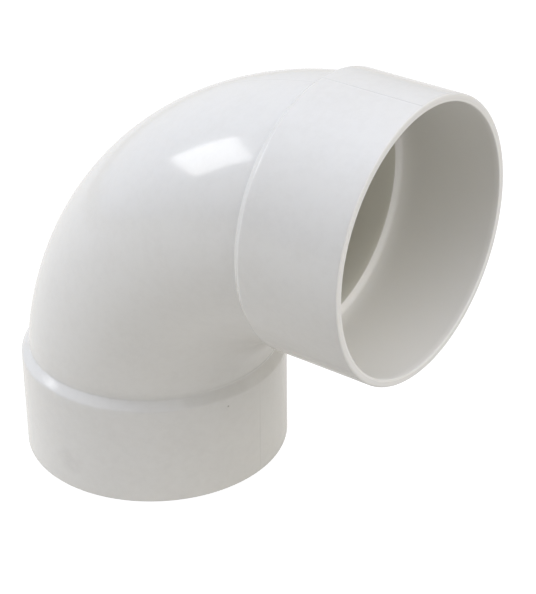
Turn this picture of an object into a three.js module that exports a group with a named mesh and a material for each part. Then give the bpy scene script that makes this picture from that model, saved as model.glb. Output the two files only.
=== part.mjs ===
// A 90 degree hub-by-hub elbow for 4 inch sewer and drain pipe, injection moulded
// as one piece of white PVC. Each hub is a short socket that a pipe end is glued into.
//
// Millimetres, +Z up. The lower hub stands mouth down on the plane z = 0 and the side
// hub opens along +X. The plane y = 0 is the mould's parting plane and a mirror plane.
// The origin is the middle of the footprint of the whole elbow.

import * as THREE from "three";
import { LoftGeometry } from "three/addons/geometries/LoftGeometry.js";
import { mergeVertices } from "three/addons/utils/BufferGeometryUtils.js";

// Hubs: both are alike. Distances along a hub are measured from the point where the
// two hub axes cross, outwards to the mouth.
const HUB_OUTER_RADIUS = 56.7;
const HUB_STRAIGHT_LENGTH = 44;
const SHOULDER_LENGTH = 4.2;
const CENTRE_TO_SHOULDER = 85.6;
const RIM_CHAMFER = 0.5;

// Sockets: a slight taper grips the pipe before its end reaches the sloping pipe stop.
const SOCKET_MOUTH_RADIUS = 53.6;
const SOCKET_END_RADIUS = 53.3;
const SOCKET_DEPTH = 45.5;
const PIPE_STOP_SLOPE = 0.9;
const BORE_RADIUS = 50.5;

// Bend: the body swells a little between the hubs. Its back and its throat are arcs
// whose centres lie beyond the corner where the two shoulder planes cross.
const BODY_END_RADIUS = 53.7;
const BODY_MIDDLE_RADIUS = 54.9;
const BACK_CENTRE_SHIFT = 23;
const THROAT_CENTRE_SHIFT = 8;

// Facets
const AROUND = 60;
const BEND_STEPS = 15;

// Worked out from the dimensions above
const CENTRE_TO_MOUTH = CENTRE_TO_SHOULDER + SHOULDER_LENGTH + HUB_STRAIGHT_LENGTH;
const CENTRE_TO_STOP = CENTRE_TO_MOUTH - SOCKET_DEPTH;
const LOWER_AXIS_X = (HUB_OUTER_RADIUS - CENTRE_TO_MOUTH) / 2;

// A closed ring of points. The ring is a half circle or half ellipse towards the back
// of the bend and another one towards its throat, joined at the two sides.
function ring(centre, towardsBack, backReach, throatReach, halfWidth) {
  const points = [];
  for (let i = 0; i < AROUND; i++) {
    const turn = (2 * Math.PI * i) / AROUND;
    const reach = Math.cos(turn) > 0 ? backReach : throatReach;
    const point = new THREE.Vector3(0, -halfWidth * Math.sin(turn), 0);
    point.add(centre);
    point.addScaledVector(towardsBack, reach * Math.cos(turn));
    points.push(point);
  }
  return points;
}

// A round ring square to the lower hub's axis, which runs down from the centre.
function lowerRing(radius, fromCentre) {
  const centre = new THREE.Vector3(0, 0, -fromCentre);
  const towardsBack = new THREE.Vector3(-1, 0, 0);
  return ring(centre, towardsBack, radius, radius, radius);
}

// The same ring on the side hub, whose axis runs along +X from the centre.
function sideRing(radius, fromCentre) {
  const centre = new THREE.Vector3(fromCentre, 0, 0);
  const towardsBack = new THREE.Vector3(0, 0, 1);
  return ring(centre, towardsBack, radius, radius, radius);
}

// How far an arc is from the corner, in the plane that has turned by angle about it.
// The arc is start away from the corner at both shoulder planes, and its centre is
// shift beyond the corner along both hub axes.
function arcReach(angle, start, shift) {
  const radius = Math.hypot(start + shift, shift);
  const along = shift * (Math.cos(angle) + Math.sin(angle));
  return Math.sqrt(along ** 2 - 2 * shift ** 2 + radius ** 2) - along;
}

// Half the body's width across the parting plane.
function bodyRadius(angle) {
  const swell = 1 - (1 - Math.sin(2 * angle)) ** 2;
  return BODY_END_RADIUS + (BODY_MIDDLE_RADIUS - BODY_END_RADIUS) * swell;
}

// A ring of the bend, on its outside or, at the bore's radius, on its inside.
function bendRing(angle, isBore) {
  const outside = bodyRadius(angle);
  const wall = isBore ? outside - BORE_RADIUS : 0;
  const halfWidth = outside - wall;
  const backStart = CENTRE_TO_SHOULDER + BODY_END_RADIUS;
  const throatStart = CENTRE_TO_SHOULDER - BODY_END_RADIUS;
  const back = arcReach(angle, backStart, BACK_CENTRE_SHIFT) - wall;
  const throat = arcReach(angle, throatStart, THROAT_CENTRE_SHIFT) + wall;
  const middle = back - halfWidth;
  const corner = new THREE.Vector3(CENTRE_TO_SHOULDER, 0, -CENTRE_TO_SHOULDER);
  const towardsBack = new THREE.Vector3(-Math.cos(angle), 0, Math.sin(angle));
  const centre = corner.addScaledVector(towardsBack, middle);
  return ring(centre, towardsBack, halfWidth, middle - throat, halfWidth);
}

// The rings of the bend from the lower shoulder plane to the side shoulder plane.
function bendRings(isBore) {
  const rings = [];
  for (let i = 0; i <= BEND_STEPS; i++) {
    rings.push(bendRing((Math.PI / 2) * (i / BEND_STEPS), isBore));
  }
  return rings;
}

// Outside of a hub, from its mouth to the large end of its sloping shoulder.
function hubOutside(hubRing) {
  return [
    hubRing(HUB_OUTER_RADIUS - RIM_CHAMFER, CENTRE_TO_MOUTH),
    hubRing(HUB_OUTER_RADIUS, CENTRE_TO_MOUTH - RIM_CHAMFER),
    hubRing(HUB_OUTER_RADIUS, CENTRE_TO_SHOULDER + SHOULDER_LENGTH),
  ];
}

// Inside of a hub, from the lead-in at its mouth to the small end of its pipe stop.
function socket(hubRing) {
  return [
    hubRing(SOCKET_MOUTH_RADIUS + RIM_CHAMFER, CENTRE_TO_MOUTH),
    hubRing(SOCKET_MOUTH_RADIUS, CENTRE_TO_MOUTH - RIM_CHAMFER),
    hubRing(SOCKET_END_RADIUS, CENTRE_TO_STOP),
    hubRing(BORE_RADIUS, CENTRE_TO_STOP - PIPE_STOP_SLOPE),
  ];
}

// The wall is one skin: over the outside from the lower rim to the side rim, then back
// through the waterway. The flat rims close it.
function elbowGeometry() {
  const outside = [
    ...hubOutside(lowerRing),
    ...bendRings(false),
    ...hubOutside(sideRing).reverse(),
  ];
  const waterway = [
    ...socket(sideRing),
    ...bendRings(true).reverse(),
    ...socket(lowerRing).reverse(),
  ];
  const skin = new LoftGeometry([...outside, ...waterway, outside[0]]);
  const geometry = new THREE.BufferGeometry().copy(skin);
  geometry.deleteAttribute("normal");
  geometry.deleteAttribute("uv");
  const welded = mergeVertices(geometry);
  welded.computeVertexNormals();
  return welded;
}

const whitePvc = new THREE.MeshStandardMaterial({
  color: 0xececeb,
  roughness: 0.3,
  metalness: 0,
});

const elbowBody = new THREE.Mesh(elbowGeometry(), whitePvc);
elbowBody.name = "elbow_body";
elbowBody.position.set(LOWER_AXIS_X, 0, CENTRE_TO_MOUTH);

const elbow = new THREE.Group();
elbow.add(elbowBody);

export default elbow;
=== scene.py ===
"""A white PVC hub-by-hub pipe elbow, standing on a pale studio floor.

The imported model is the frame: its box gives the hubs' radius, the point where the two hub
axes cross and the reach of both hubs. The moulding is built here as one fine closed skin,
with rounded rims, socket tapers, pipe stops, sloping shoulders and the mould's parting
line. Lengths are in metres, through MM where a size is given in millimetres.
"""

import math

import bpy
import numpy as np
from mathutils import Matrix, Vector


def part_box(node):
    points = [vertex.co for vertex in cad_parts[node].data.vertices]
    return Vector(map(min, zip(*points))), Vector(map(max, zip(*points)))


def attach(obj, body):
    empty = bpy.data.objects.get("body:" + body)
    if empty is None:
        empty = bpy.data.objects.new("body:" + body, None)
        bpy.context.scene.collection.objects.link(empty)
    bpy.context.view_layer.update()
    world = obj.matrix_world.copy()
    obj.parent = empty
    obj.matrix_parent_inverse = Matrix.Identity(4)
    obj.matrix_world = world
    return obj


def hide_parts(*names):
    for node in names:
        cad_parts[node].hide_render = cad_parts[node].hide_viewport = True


MM = 0.001

# Wall sizes that the box doesn't give, in millimetres, as in the CAD model.
HUB_STRAIGHT = 44.0
SHOULDER_LENGTH = 4.2
SOCKET_DEPTH = 45.5
SOCKET_MOUTH_RADIUS = 53.6
SOCKET_END_RADIUS = 53.3
STOP_SLOPE = 0.9
BORE_RADIUS = 50.5
BODY_END_RADIUS = 53.7
BODY_MIDDLE_RADIUS = 54.9
BACK_CENTRE_SHIFT = 23.0
THROAT_CENTRE_SHIFT = 8.0

# Small roundings of the moulding, in millimetres. The neck narrows the bend a little where
# it meets the lower hub's crease.
RIM_OUTER_ROUND = 0.8
RIM_INNER_ROUND = 0.4
SHOULDER_ROUND = 1.8
CREASE_ROUND = 0.8
CREASE_LIP = 0.7
NECK_DEPTH = 0.45
NECK_LENGTH = 3.0
STOP_FILLET = 1.6
BORE_EDGE_ROUND = 0.3

# A corner's rounding may use up to this share of each straight line beside it.
LARGEST_ROUNDING_SHARE = 0.45

# Parting line: a fine ridge of flash beside a shallow groove. Along the back it is turned
# off the mirror plane, by radians, and along the throat it lies on it and is fainter. It is
# faintest on the bend, and is full after this share of a hub's length. Sizes are in
# millimetres.
BACK_SEAM_TURN = 0.075
THROAT_SEAM = 0.3
BEND_SEAM = 0.15
SEAM_GROWTH = 0.6
RIDGE_HEIGHT = 0.08
RIDGE_WIDTH = 0.25
GROOVE_DEPTH = 0.2
GROOVE_WIDTH = 0.28
GROOVE_OFFSET = 0.5

# Waviness of the moulded walls: depth in millimetres, and for each wave its share of that
# depth, its turns round the ring, its change along the moulding and its start.
WAVE_DEPTH = 0.018
WAVES = (
    (1.0, 3, 0.05, 0.6),
    (0.7, 5, -0.083, 2.1),
    (0.5, 8, 0.131, 0.0),
)

# The turned marks of a shoulder start this far from its crease and end this far past its
# crest, in millimetres.
CREASE_CLEARANCE = 0.2
CREST_CLEARANCE = 0.1

# The waviness and the parting line grow from nought at the rim over this length.
RIM_CLEARANCE = 1.2

# Fineness of the skin. Near the parting lines the columns lie at these offsets, in
# millimetres, instead of evenly.
AROUND = 232
BEND_STEPS = 100
LONGEST_STEP = 2.4
ARC_STEPS = 5
SEAM_COLUMNS = (-1.1, -0.85, -0.7, -0.6, -0.5, -0.4, -0.3, -0.15, 0.0, 0.15, 0.3, 0.5)
SEAM_CLEARANCE = 1.2

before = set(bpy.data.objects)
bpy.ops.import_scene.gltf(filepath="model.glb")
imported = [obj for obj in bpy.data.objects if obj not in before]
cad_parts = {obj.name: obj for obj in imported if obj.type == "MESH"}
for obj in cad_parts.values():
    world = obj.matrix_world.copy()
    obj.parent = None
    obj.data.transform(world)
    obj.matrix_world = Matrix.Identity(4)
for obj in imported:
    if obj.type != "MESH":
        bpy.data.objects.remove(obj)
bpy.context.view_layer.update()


# ---------------------------------------------------------------- shape of the moulding


def elbow_places():
    """Driving places of the elbow in millimetres, from the CAD node's box."""
    low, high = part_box("elbow_body")
    hub_radius = (high.y - low.y) / 2 / MM
    centre_to_mouth = (high.x - low.x) / MM - hub_radius
    centre = Vector((low.x / MM + hub_radius, 0.0, high.z / MM - hub_radius))
    return hub_radius, centre_to_mouth, centre


HUB_RADIUS, CENTRE_TO_MOUTH, CENTRE = elbow_places()
SHOULDER_PLANE = CENTRE_TO_MOUTH - HUB_STRAIGHT - SHOULDER_LENGTH
STOP_PLANE = CENTRE_TO_MOUTH - SOCKET_DEPTH


def rounded_outline(corners, roundings):
    """Points along a run of straight lines whose inner corners are replaced by arcs."""
    points = [np.array(corners[0], float)]
    for i in range(1, len(corners) - 1):
        here = np.array(corners[i], float)
        back = np.array(corners[i - 1], float) - here
        on = np.array(corners[i + 1], float) - here
        back_length, on_length = np.linalg.norm(back), np.linalg.norm(on)
        back, on = back / back_length, on / on_length
        half = math.acos(np.clip(back @ on, -1, 1)) / 2
        room = LARGEST_ROUNDING_SHARE * min(back_length, on_length)
        reach = min(roundings[i - 1] / math.tan(half), room)
        radius = reach * math.tan(half)
        middle = here + (back + on) / np.linalg.norm(back + on) * (radius / math.sin(half))
        start = here + back * reach - middle
        sweep = math.pi - 2 * half
        turn = math.copysign(1, start[0] * on[1] - start[1] * on[0])
        for k in range(ARC_STEPS + 1):
            a = turn * sweep * k / ARC_STEPS
            c, s = math.cos(a), math.sin(a)
            points.append(middle + [c * start[0] - s * start[1], s * start[0] + c * start[1]])
    points.append(np.array(corners[-1], float))
    return points


def with_short_steps(points):
    """The same run of points with every long straight step divided."""
    out = [points[0]]
    for a, b in zip(points[:-1], points[1:]):
        count = max(1, math.ceil(np.linalg.norm(b - a) / LONGEST_STEP))
        out.extend(a + (b - a) * k / count for k in range(1, count + 1))
    return out


def hub_outside(neck):
    """Points (distance from centre, radius) from the rim's middle to the shoulder's small end.

    That end is narrower than the body by the depth of the neck.
    """
    rim_middle = (HUB_RADIUS + SOCKET_MOUTH_RADIUS) / 2
    body_radius = BODY_END_RADIUS - neck
    corners = [
        (CENTRE_TO_MOUTH, rim_middle),
        (CENTRE_TO_MOUTH, HUB_RADIUS),
        (SHOULDER_PLANE + SHOULDER_LENGTH, HUB_RADIUS),
        (SHOULDER_PLANE + CREASE_LIP, body_radius),
        (SHOULDER_PLANE, body_radius),
    ]
    return with_short_steps(
        rounded_outline(corners, [RIM_OUTER_ROUND, SHOULDER_ROUND, CREASE_ROUND])
    )


def hub_inside():
    """Points (distance from centre, radius) from the rim's middle to the bore's inner end."""
    rim_middle = (HUB_RADIUS + SOCKET_MOUTH_RADIUS) / 2
    corners = [
        (CENTRE_TO_MOUTH, rim_middle),
        (CENTRE_TO_MOUTH, SOCKET_MOUTH_RADIUS),
        (STOP_PLANE, SOCKET_END_RADIUS),
        (STOP_PLANE - STOP_SLOPE, BORE_RADIUS),
        (SHOULDER_PLANE, BORE_RADIUS),
    ]
    return with_short_steps(
        rounded_outline(corners, [RIM_INNER_ROUND, STOP_FILLET, BORE_EDGE_ROUND])
    )


def arc_reach(angle, start, shift):
    """Distance from the corner of the shoulder planes to an arc, in a plane through it."""
    radius = math.hypot(start + shift, shift)
    along = shift * (math.cos(angle) + math.sin(angle))
    return math.sqrt(along**2 - 2 * shift**2 + radius**2) - along


def bend_section(angle, is_bore):
    """Middle, back reach, throat reach and half width of the bend's section at an angle."""
    swell = 1 - (1 - math.sin(2 * angle)) ** 2
    outside = BODY_END_RADIUS + (BODY_MIDDLE_RADIUS - BODY_END_RADIUS) * swell
    wall = outside - BORE_RADIUS if is_bore else 0.0
    half_width = outside - wall
    back = arc_reach(angle, SHOULDER_PLANE + BODY_END_RADIUS, BACK_CENTRE_SHIFT) - wall
    throat = arc_reach(angle, SHOULDER_PLANE - BODY_END_RADIUS, THROAT_CENTRE_SHIFT) + wall
    middle = back - half_width
    return middle, half_width, middle - throat, half_width


def ring_angles():
    """Angles round a section, from the back of the bend, closer together at the parting line."""
    even = np.arange(AROUND) * 2 * math.pi / AROUND
    fine = np.array(SEAM_COLUMNS) / BODY_END_RADIUS
    far = np.abs(from_seam(even)) > SEAM_CLEARANCE / BODY_END_RADIUS
    return np.sort(np.concatenate([even[far], fine + BACK_SEAM_TURN, fine + math.pi]) % math.tau)


def from_seam(angles):
    """Angles measured from the nearer of the two parting lines."""
    seam = np.where(np.cos(angles) > 0, BACK_SEAM_TURN, math.pi)
    return np.mod(angles - seam + math.pi, math.tau) - math.pi


def parting_relief(angles, radius):
    """Height of the parting line over the skin, in millimetres, along one ring."""
    offset = from_seam(angles) * radius
    ridge = RIDGE_HEIGHT * np.exp(-((offset / RIDGE_WIDTH) ** 2))
    return (ridge - GROOVE_DEPTH * seam_groove(angles)) * seam_strength(angles)


def seam_groove(angles):
    """One at the bottom of the groove beside the parting line and nought away from it."""
    offset = from_seam(angles) * HUB_RADIUS
    return np.exp(-(((offset + GROOVE_OFFSET) / GROOVE_WIDTH) ** 2))


def seam_strength(angles):
    """Strength of the parting line: full along the back and faint along the throat."""
    return np.where(np.cos(angles) > 0, 1.0, THROAT_SEAM)


def mould_waviness(angles, along):
    """Very shallow unevenness of a moulded wall, in millimetres."""
    height = np.zeros_like(angles)
    for share, turns, change, start in WAVES:
        height += share * np.sin(turns * angles + change * along + start)
    return WAVE_DEPTH * height


class Skin:
    """Rings of points from the middle of one rim, over the outside, and back inside.

    Each ring also has marks from nought to one, which the material reads: inside, shoulder,
    waterway and painted edge light. The seam is the strength of the parting line there.
    """

    def __init__(self):
        self.angles = ring_angles()
        self.rings = []
        self.along = []
        self.marks = []
        self.seam = []
        self.travelled = 0.0

    def add(self, centre, towards_back, reaches, relief, marks, seam):
        back, throat, half_width = reaches
        cos, sin = np.cos(self.angles), np.sin(self.angles)
        reach = np.where(cos > 0, back, throat) + relief
        ring = (
            np.array(centre)[None, :]
            + np.array(towards_back)[None, :] * (reach * cos)[:, None]
            + np.array((0.0, -1.0, 0.0))[None, :] * ((half_width + relief) * sin)[:, None]
        )
        if self.rings:
            self.travelled += float(np.linalg.norm(ring - self.rings[-1], axis=1).mean())
        self.rings.append(ring)
        self.along.append(self.travelled)
        self.marks.append(marks)
        self.seam.append(seam)


def hub_frame(is_side, distance):
    """Centre and back direction of a ring square to one hub's axis."""
    if is_side:
        return CENTRE + Vector((distance, 0, 0)), (0, 0, 1)
    return CENTRE - Vector((0, 0, distance)), (-1, 0, 0)


def painted_edge_lightness(distance, inside):
    """Painted light on a hub's edges: full on the pipe stop, fading up the wall, less on the rim.
    """
    if distance > CENTRE_TO_MOUTH - RIM_INNER_ROUND:
        return RIM_PAINTED_LIGHT
    if not inside or distance < STOP_PLANE - STOP_SLOPE:
        return 0.0
    return math.exp(-((max(0.0, distance - STOP_PLANE) / STOP_PAINTED_LIGHT_REACH) ** 2))


def clear_of_rim(distance):
    """Nought at the rim and one further up the hub, so that the rim stays plain."""
    return min(1.0, max(0.0, (CENTRE_TO_MOUTH - distance) / RIM_CLEARANCE))


def hub_seam(distance):
    """Strength of the parting line on a hub's outside: it grows from the shoulder outwards."""
    up_hub = (distance - SHOULDER_PLANE) / (CENTRE_TO_MOUTH - SHOULDER_PLANE)
    grown = min(1.0, BEND_SEAM + (1 - BEND_SEAM) * up_hub / SEAM_GROWTH)
    return grown * clear_of_rim(distance)


def add_hub_outside(skin, is_side, outline):
    """Rings of one hub's outside, with its parting line and waviness."""
    shoulder_end = SHOULDER_PLANE + SHOULDER_LENGTH
    for distance, radius in outline:
        centre, back = hub_frame(is_side, distance)
        seam = hub_seam(distance)
        relief = parting_relief(skin.angles, radius) * seam
        relief = relief + mould_waviness(skin.angles, distance) * clear_of_rim(distance)
        on_shoulder = SHOULDER_PLANE + CREASE_CLEARANCE < distance < shoulder_end + CREST_CLEARANCE
        marks = {
            "inside": 0.0,
            "shoulder": float(on_shoulder),
            "waterway": 0.0,
            "painted_edge_light": painted_edge_lightness(distance, inside=False),
        }
        skin.add(centre, back, (radius, radius, radius), relief, marks, seam)


def add_hub_inside(skin, is_side, outline):
    """Rings of one socket, its pipe stop and the bore behind it."""
    bore_start = STOP_PLANE - STOP_SLOPE - BORE_EDGE_ROUND / 2
    for distance, radius in outline:
        centre, back = hub_frame(is_side, distance)
        marks = {
            "inside": 1.0,
            "shoulder": 0.0,
            "waterway": float(distance < bore_start),
            "painted_edge_light": painted_edge_lightness(distance, inside=True),
        }
        skin.add(centre, back, (radius, radius, radius), 0.0, marks, 0.0)


def add_bend(skin, inside, reverse):
    """Rings of the bend between the shoulder planes, on its outside or in the waterway."""
    corner = CENTRE + Vector((SHOULDER_PLANE, 0, -SHOULDER_PLANE))
    steps = range(1, BEND_STEPS)
    for i in reversed(steps) if reverse else steps:
        angle = math.pi / 2 * i / BEND_STEPS
        middle, back, throat, half_width = bend_section(angle, inside)
        towards_back = Vector((-math.cos(angle), 0, math.sin(angle)))
        relief = 0.0
        if not inside:
            along = SHOULDER_PLANE * (1 - 2 * i / BEND_STEPS)
            to_crease = SHOULDER_PLANE * angle
            relief = parting_relief(skin.angles, half_width) * BEND_SEAM
            relief = relief + mould_waviness(skin.angles, along)
            relief = relief - NECK_DEPTH * math.exp(-((to_crease / NECK_LENGTH) ** 2))
        marks = {
            "inside": float(inside),
            "shoulder": 0.0,
            "waterway": float(inside),
            "painted_edge_light": 0.0,
        }
        centre = corner + towards_back * middle
        seam = 0.0 if inside else BEND_SEAM
        skin.add(centre, towards_back, (back, throat, half_width), relief, marks, seam)


def elbow_skin():
    """The whole skin: out over the lower hub, bend and side hub, and back through the bore."""
    skin = Skin()
    add_hub_outside(skin, is_side=False, outline=hub_outside(NECK_DEPTH))
    add_bend(skin, inside=False, reverse=False)
    add_hub_outside(skin, is_side=True, outline=hub_outside(0.0)[::-1])
    add_hub_inside(skin, is_side=True, outline=hub_inside()[1:])
    add_bend(skin, inside=True, reverse=True)
    add_hub_inside(skin, is_side=False, outline=hub_inside()[:0:-1])
    return skin


def grid_mesh(name, skin):
    """One closed mesh from the rings: round each ring, and from the last ring to the first."""
    rows, columns = len(skin.rings), len(skin.angles)
    mesh = bpy.data.meshes.new(name)
    points = np.concatenate(skin.rings) * MM
    index = np.arange(rows * columns).reshape(rows, columns)
    next_row = np.roll(index, -1, axis=0)
    quads = np.stack(
        [index, np.roll(index, -1, axis=1), np.roll(next_row, -1, axis=1), next_row], axis=-1
    ).reshape(-1, 4)
    mesh.from_pydata(points.tolist(), [], quads.tolist())
    mesh.polygons.foreach_set("use_smooth", [True] * len(mesh.polygons))
    store(mesh, "along", np.repeat(skin.along, columns))
    groove = seam_groove(skin.angles) * seam_strength(skin.angles)
    store(mesh, "groove", np.outer(skin.seam, groove).ravel())
    for mark in ("inside", "shoulder", "waterway", "painted_edge_light"):
        store(mesh, mark, np.repeat([marks[mark] for marks in skin.marks], columns))
    mesh.validate()
    mesh.update()
    return mesh


def store(mesh, name, values):
    """Give the mesh a named number at every point, for the material to read."""
    layer = mesh.attributes.new(name, "FLOAT", "POINT")
    layer.data.foreach_set("value", np.asarray(values, np.float32))


# ---------------------------------------------------------------- materials


class Nodes:
    """Short calls for building a node tree."""

    def __init__(self, tree):
        self.tree = tree
        self.tree.nodes.clear()

    def add(self, kind, **values):
        node = self.tree.nodes.new(kind)
        for key, value in values.items():
            setattr(node, key, value)
        return node

    def link(self, out, into):
        self.tree.links.new(out, into)

    def feed(self, socket, value):
        if hasattr(value, "links"):
            self.link(value, socket)
        else:
            socket.default_value = value

    def math(self, operation, a, b=0.0, c=0.0):
        node = self.add("ShaderNodeMath", operation=operation)
        for socket, value in zip(node.inputs, (a, b, c)):
            self.feed(socket, value)
        return node.outputs[0]

    def attribute(self, name):
        return self.add("ShaderNodeAttribute", attribute_name=name).outputs["Fac"]

    def noise(self, vector, scale, detail, roughness=0.5):
        node = self.add("ShaderNodeTexNoise")
        self.feed(node.inputs["Vector"], vector)
        self.feed(node.inputs["Scale"], scale)
        self.feed(node.inputs["Detail"], detail)
        self.feed(node.inputs["Roughness"], roughness)
        return node.outputs["Fac"]

    def ramp(self, value, low, high, to_low=0.0, to_high=1.0):
        node = self.add("ShaderNodeMapRange", interpolation_type="SMOOTHSTEP")
        for socket, given in zip(node.inputs, (value, low, high, to_low, to_high)):
            self.feed(socket, given)
        return node.outputs[0]

    def mix(self, share, a, b):
        node = self.add("ShaderNodeMix", data_type="RGBA")
        self.feed(node.inputs[0], share)
        self.feed(node.inputs[6], a)
        self.feed(node.inputs[7], b)
        return node.outputs[2]

    def bump(self, height, distance, normal=None):
        node = self.add("ShaderNodeBump")
        self.feed(node.inputs["Height"], height)
        node.inputs["Distance"].default_value = distance
        node.inputs["Strength"].default_value = 1.0
        if normal is not None:
            self.link(normal, node.inputs["Normal"])
        return node.outputs[0]


# Linear colours of the plastic, of what lies on it, and of the painted shade and light on it.
PVC_WHITE = (0.845, 0.835, 0.806, 1)
PVC_SHADE = (0.81, 0.798, 0.768, 1)
# Painted shade: a warmer colour inside the sockets.
SOCKET_PAINTED_SHADE = (0.843, 0.832, 0.795, 1)
# Painted light: a lighter colour on the pipe stops and rims.
EDGE_PAINTED_LIGHT = (0.965, 0.955, 0.93, 1)
# Painted shade: a darker, warmer colour in the bore and inside the bend.
WATERWAY_PAINTED_SHADE = (0.83, 0.815, 0.745, 1)
# A soft darker patch on the lower hub.
DARK_PATCH_COLOUR = (0.74, 0.725, 0.70, 1)
SPECK_SHADE = (0.5, 0.48, 0.45, 1)
# Painted shade in the parting line's groove: its colour, and how much of it lies at the groove's
# bottom.
GROOVE_PAINTED_SHADE = (0.55, 0.53, 0.5, 1)
GROOVE_PAINTED_SHADE_SHARE = 0.5

# The edges are painted lighter, standing in for light: fully on the pipe stop, fading up the
# socket's wall over this many millimetres, and by this share on the rims.
STOP_PAINTED_LIGHT_REACH = 5.0
RIM_PAINTED_LIGHT = 0.6

# Patterns of the surface: scale per metre, detail and roughness of the noise, the range of
# it that is used, and the two values that the range becomes.
CLOUD = (9, 2, 0.5, 0.4, 0.7, 0.0, 0.3)
MOTTLE = (55, 4, 0.6, 0.35, 0.7, 0.0, 0.4)
FINE_MOTTLE = (280, 4, 0.7, 0.25, 0.75, -0.4, 0.4)
DARK_PATCH_PATTERN = (170, 3, 0.6, 0.3, 0.6, 0.2, 0.8)
GLOSS = (120, 3, 0.5, 0.3, 0.7, 0.1, 0.14)

# How much rougher the inside is than the outside.
INSIDE_DULLNESS = 0.28

# Fine relief: scale per metre and detail of the noise, and heights in metres. The turned
# marks follow each other by their phase per millimetre.
GRAIN = (420, 2)
GRAIN_HEIGHT = 0.004 * MM
PEEL = (70, 2)
PEEL_HEIGHT = 0.02 * MM
TURNED_PHASE = 13.0
TURNED_HEIGHT = 0.003 * MM

# Optics of the plastic: refraction, and the light scattered under the surface.
REFRACTION = 1.5
SCATTER_SHARE = 0.1
SCATTER_COLOUR = (1.0, 0.9, 0.75)
SCATTER_DEPTH = 1.5 * MM


def on_lower_hub(azimuth, height):
    """A point of the lower hub's outside, in metres, from degrees and millimetres."""
    a = math.radians(azimuth)
    return Vector((CENTRE.x + HUB_RADIUS * math.sin(a), -HUB_RADIUS * math.cos(a), height)) * MM


# A soft darker patch and a speck: place, radius of the solid middle and radius where it has faded.
DARK_PATCH = (on_lower_hub(0, 13), 1.0 * MM, 8.0 * MM)
SPECK = (on_lower_hub(71.5, 40.5), 0.15 * MM, 0.6 * MM)


def spot(n, place, centre, solid, faded):
    """One inside a round spot, fading to nought between two distances from its centre."""
    distance = n.add("ShaderNodeVectorMath", operation="DISTANCE")
    n.link(place, distance.inputs[0])
    distance.inputs[1].default_value = centre
    return n.ramp(distance.outputs["Value"], solid, faded, 1.0, 0.0)


def pattern(n, place, values):
    """One of the patterns listed above."""
    scale, detail, roughness, low, high, to_low, to_high = values
    return n.ramp(n.noise(place, scale, detail, roughness), low, high, to_low, to_high)


def pvc_colour(n, place):
    """Faintly mottled white with a speck and a soft darker patch, painted warm shade inside and in
    the bore, painted shade in the parting line's groove and painted light on the edges.
    """
    coarse = n.math("ADD", pattern(n, place, MOTTLE), pattern(n, place, CLOUD))
    shade = n.math("ADD", coarse, pattern(n, place, FINE_MOTTLE))
    colour = n.mix(shade, PVC_WHITE, PVC_SHADE)
    # Painted warm shade inside.
    colour = n.mix(n.attribute("inside"), colour, SOCKET_PAINTED_SHADE)
    # Painted shade in the bore and inside the bend.
    colour = n.mix(n.attribute("waterway"), colour, WATERWAY_PAINTED_SHADE)
    # Painted light on the pipe stops and rims.
    colour = n.mix(n.attribute("painted_edge_light"), colour, EDGE_PAINTED_LIGHT)
    # Painted shade in the parting line's groove.
    groove_painted_shade = n.math("MULTIPLY", n.attribute("groove"), GROOVE_PAINTED_SHADE_SHARE)
    colour = n.mix(groove_painted_shade, colour, GROOVE_PAINTED_SHADE)
    # A soft darker patch on the lower hub, broken up by a pattern.
    dark_patch = n.math("MULTIPLY", spot(n, place, *DARK_PATCH), pattern(n, place, DARK_PATCH_PATTERN))
    colour = n.mix(dark_patch, colour, DARK_PATCH_COLOUR)
    return n.mix(spot(n, place, *SPECK), colour, SPECK_SHADE)


def pvc_roughness(n, place):
    """Semi-gloss outside and duller inside."""
    inside = n.math("MULTIPLY", n.attribute("inside"), INSIDE_DULLNESS)
    return n.math("ADD", pattern(n, place, GLOSS), inside)


def pvc_relief(n, place):
    """Normals with a fine grain, orange peel and the turned marks on the shoulders."""
    grain = n.bump(n.noise(place, *GRAIN), GRAIN_HEIGHT)
    orange_peel = n.bump(n.noise(place, *PEEL), PEEL_HEIGHT, grain)
    wave = n.math("SINE", n.math("MULTIPLY", n.attribute("along"), TURNED_PHASE))
    turned = n.math("MULTIPLY", wave, n.attribute("shoulder"))
    return n.bump(turned, TURNED_HEIGHT, orange_peel)


def white_pvc():
    """Rigid white PVC with a little light scattered under its surface."""
    material = bpy.data.materials.new("white_pvc")
    material.use_nodes = True
    n = Nodes(material.node_tree)
    place = n.add("ShaderNodeTexCoord").outputs["Object"]
    shader = n.add("ShaderNodeBsdfPrincipled")
    n.feed(shader.inputs["Base Color"], pvc_colour(n, place))
    n.feed(shader.inputs["Roughness"], pvc_roughness(n, place))
    n.feed(shader.inputs["IOR"], REFRACTION)
    n.feed(shader.inputs["Subsurface Weight"], SCATTER_SHARE)
    n.feed(shader.inputs["Subsurface Radius"], SCATTER_COLOUR)
    n.feed(shader.inputs["Subsurface Scale"], SCATTER_DEPTH)
    n.link(pvc_relief(n, place), shader.inputs["Normal"])
    output = n.add("ShaderNodeOutputMaterial")
    n.link(shader.outputs[0], output.inputs[0])
    return material


# ---------------------------------------------------------------- studio

# Soft glows of the surroundings: azimuth and elevation in degrees, tightness and linear
# colour, in which 1 shows as pure white.
STUDIO_GLOWS = (
    (-74, 22, 5.7, (0.67, 0.72, 0.84)),
    (-70, 63, 6.9, (0.55, 0.61, 0.66)),
    (0, 90, 8.3, (1.14, 1.18, 1.46)),
    (95, 41, 5.3, (1.92, 1.89, 1.84)),
    (-119, -4, 2.8, (0.78, 0.76, 0.72)),
    (150, 30, 6.0, (0.13, 0.11, 0.06)),
)

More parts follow.
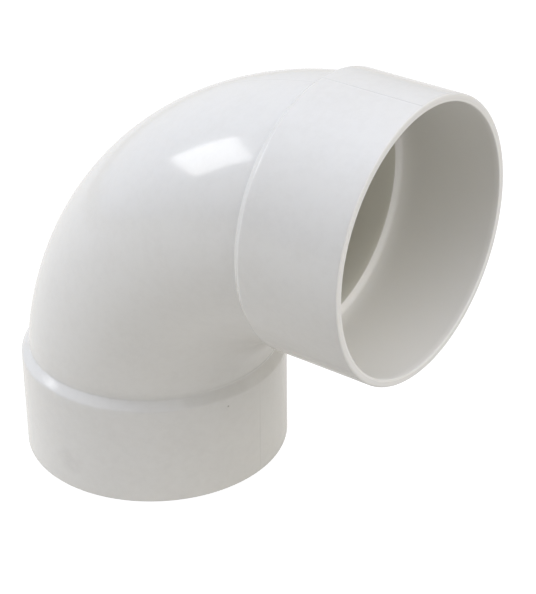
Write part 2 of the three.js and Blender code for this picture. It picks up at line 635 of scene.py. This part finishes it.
# Floor: its size in metres and its own shade, the light it gives near the elbow and far
# away, the distances between which one turns into the other, how much brighter it is on
# the left, and how bright it looks to the camera.
FLOOR_SIDES = 96
FLOOR_RADIUS = 6
FLOOR_SHADE = (0.2, 0.2, 0.2, 1)
FLOOR_NEAR = (0.54, 0.524, 0.494, 1)
FLOOR_FAR = (0.40, 0.37, 0.30, 1)
FLOOR_NEAR_END = 1.0
FLOOR_FAR_START = 1.4
FLOOR_LEAN = 0.37
FLOOR_SEEN = 0.95

# Softbox: azimuth and elevation in degrees, as seen from a place on the bend. That place
# is in millimetres from the point where the hub axes cross. Distance and size are in metres.
SOFTBOX_DIRECTION = (-70.8, 28.2)
SOFTBOX_AIM = (65.0, -40.0, 32.0)
SOFTBOX_DISTANCE = 1.6
SOFTBOX_SIZE = (0.54, 0.52)
SOFTBOX_RADIANCE = 4.4

# Camera: direction and roll in degrees, distance and reach in metres, lens in millimetres
# and the place it looks at.
CAMERA_AZIMUTH = 37.0
CAMERA_ELEVATION = 29.76
CAMERA_ROLL = -0.48
CAMERA_DISTANCE = 0.7968
CAMERA_LENS = 120.2
CAMERA_REACH = 20
AIM = (CENTRE + Vector((61.0, 0.0, -47.75))) * MM


def direction_of(azimuth, elevation):
    """Unit vector towards a viewer at that azimuth and elevation, in degrees."""
    a, e = math.radians(azimuth), math.radians(elevation)
    return Vector((math.sin(a) * math.cos(e), -math.cos(a) * math.cos(e), math.sin(e)))


def sum_of_glows(n, glows):
    """Colour of the surroundings: soft round glows, each around its own direction."""
    total = None
    towards = n.add("ShaderNodeVectorMath", operation="NORMALIZE")
    n.link(n.add("ShaderNodeTexCoord").outputs["Generated"], towards.inputs[0])
    for azimuth, elevation, tightness, colour in glows:
        near = n.add("ShaderNodeVectorMath", operation="DOT_PRODUCT")
        n.link(towards.outputs[0], near.inputs[0])
        near.inputs[1].default_value = direction_of(azimuth, elevation)
        power = n.math("MULTIPLY", n.math("SUBTRACT", near.outputs["Value"], 1.0), tightness)
        glow = n.add("ShaderNodeVectorMath", operation="SCALE")
        glow.inputs[0].default_value = colour
        n.link(n.math("EXPONENT", power), glow.inputs["Scale"])
        if total is None:
            total = glow.outputs[0]
        else:
            both = n.add("ShaderNodeVectorMath", operation="ADD")
            n.link(total, both.inputs[0])
            n.link(glow.outputs[0], both.inputs[1])
            total = both.outputs[0]
    return total


def seen_or_felt(n, seen, felt):
    """One shader for what the camera sees and another for the light it gives."""
    choose = n.add("ShaderNodeMixShader")
    n.link(n.add("ShaderNodeLightPath").outputs["Is Camera Ray"], choose.inputs[0])
    n.link(felt.outputs[0], choose.inputs[1])
    n.link(seen.outputs[0], choose.inputs[2])
    return choose


def studio_world():
    """Soft light panels round the object. The camera sees plain white instead."""
    world = bpy.data.worlds.new("studio")
    bpy.context.scene.world = world
    world.use_nodes = True
    n = Nodes(world.node_tree)
    soft = n.add("ShaderNodeBackground")
    n.feed(soft.inputs["Color"], sum_of_glows(n, STUDIO_GLOWS))
    white = n.add("ShaderNodeBackground")
    white.inputs["Color"].default_value = (1, 1, 1, 1)
    choose = seen_or_felt(n, white, soft)
    output = n.add("ShaderNodeOutputWorld")
    n.link(choose.outputs[0], output.inputs[0])


def floor_level(n, place):
    """Brightness of the floor: more on the left, and none under the lower hub."""
    from_hub = n.add("ShaderNodeVectorMath", operation="DISTANCE")
    n.link(place, from_hub.inputs[0])
    from_hub.inputs[1].default_value = (CENTRE.x * MM, 0, 0)
    clear = n.math("GREATER_THAN", from_hub.outputs["Value"], HUB_RADIUS * MM)
    outwards = n.add("ShaderNodeVectorMath", operation="NORMALIZE")
    n.link(place, outwards.inputs[0])
    split = n.add("ShaderNodeSeparateXYZ")
    n.link(outwards.outputs[0], split.inputs[0])
    leaning = n.math("MULTIPLY_ADD", split.outputs["X"], -FLOOR_LEAN, 1.0)
    return n.math("MULTIPLY", leaning, clear)


def floor_colour(n, place):
    """Colour of the light from the floor, by distance."""
    distance = n.add("ShaderNodeVectorMath", operation="LENGTH")
    n.link(place, distance.inputs[0])
    far = n.ramp(distance.outputs["Value"], FLOOR_NEAR_END, FLOOR_FAR_START)
    return n.mix(far, FLOOR_NEAR, FLOOR_FAR)


def pale_floor():
    """Material of the floor: nearly white to the camera, and a soft light to the elbow."""
    material = bpy.data.materials.new("pale_floor")
    material.use_nodes = True
    n = Nodes(material.node_tree)
    place = n.add("ShaderNodeNewGeometry").outputs["Position"]
    felt = n.add("ShaderNodeEmission")
    n.link(floor_colour(n, place), felt.inputs["Color"])
    n.link(floor_level(n, place), felt.inputs["Strength"])
    seen = n.add("ShaderNodeEmission")
    seen.inputs["Strength"].default_value = FLOOR_SEEN
    diffuse = n.add("ShaderNodeBsdfDiffuse")
    diffuse.inputs["Color"].default_value = FLOOR_SHADE
    both = n.add("ShaderNodeAddShader")
    n.link(diffuse.outputs[0], both.inputs[0])
    n.link(seen_or_felt(n, seen, felt).outputs[0], both.inputs[1])
    output = n.add("ShaderNodeOutputMaterial")
    n.link(both.outputs[0], output.inputs[0])
    return material


def studio_floor():
    """A pale round floor under the elbow."""
    bpy.ops.mesh.primitive_circle_add(
        vertices=FLOOR_SIDES, radius=FLOOR_RADIUS, fill_type="NGON"
    )
    floor = bpy.context.object
    floor.name = "studio_floor"
    floor.data.materials.append(pale_floor())


def softbox():
    """A rectangular softbox, whose mirror image is the bright patch on the bend."""
    data = bpy.data.lights.new("softbox", "AREA")
    data.shape = "RECTANGLE"
    data.size, data.size_y = SOFTBOX_SIZE
    data.energy = math.pi * SOFTBOX_SIZE[0] * SOFTBOX_SIZE[1] * SOFTBOX_RADIANCE
    light = bpy.data.objects.new("softbox", data)
    towards = direction_of(*SOFTBOX_DIRECTION)
    bend = (CENTRE + Vector(SOFTBOX_AIM)) * MM
    light.location = bend + towards * SOFTBOX_DISTANCE
    light.rotation_euler = towards.to_track_quat("Z", "Y").to_euler()
    bpy.context.scene.collection.objects.link(light)


def studio_camera():
    """A long lens that looks down at the elbow and into the side hub's mouth."""
    data = bpy.data.cameras.new("camera")
    data.lens = CAMERA_LENS
    data.clip_end = CAMERA_REACH
    camera = bpy.data.objects.new("camera", data)
    back = direction_of(CAMERA_AZIMUTH, CAMERA_ELEVATION)
    level = direction_of(CAMERA_AZIMUTH + 90, 0)
    upright = back.cross(level)
    roll = math.radians(CAMERA_ROLL)
    right = level * math.cos(roll) + upright * math.sin(roll)
    up = upright * math.cos(roll) - level * math.sin(roll)
    turn = Matrix((right, up, back)).transposed()
    camera.matrix_world = Matrix.Translation(AIM + back * CAMERA_DISTANCE) @ turn.to_4x4()
    bpy.context.scene.collection.objects.link(camera)
    bpy.context.scene.camera = camera


# ---------------------------------------------------------------- scene


def elbow_moulding():
    """The elbow's one piece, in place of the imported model's node."""
    mesh = grid_mesh("elbow_moulding", elbow_skin())
    elbow = bpy.data.objects.new("elbow_moulding", mesh)
    bpy.context.scene.collection.objects.link(elbow)
    elbow.data.materials.append(white_pvc())
    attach(elbow, "root")
    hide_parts("elbow_body")


elbow_moulding()
studio_floor()
studio_world()
softbox()
studio_camera()

bpy.context.scene.view_settings.view_transform = "Standard"
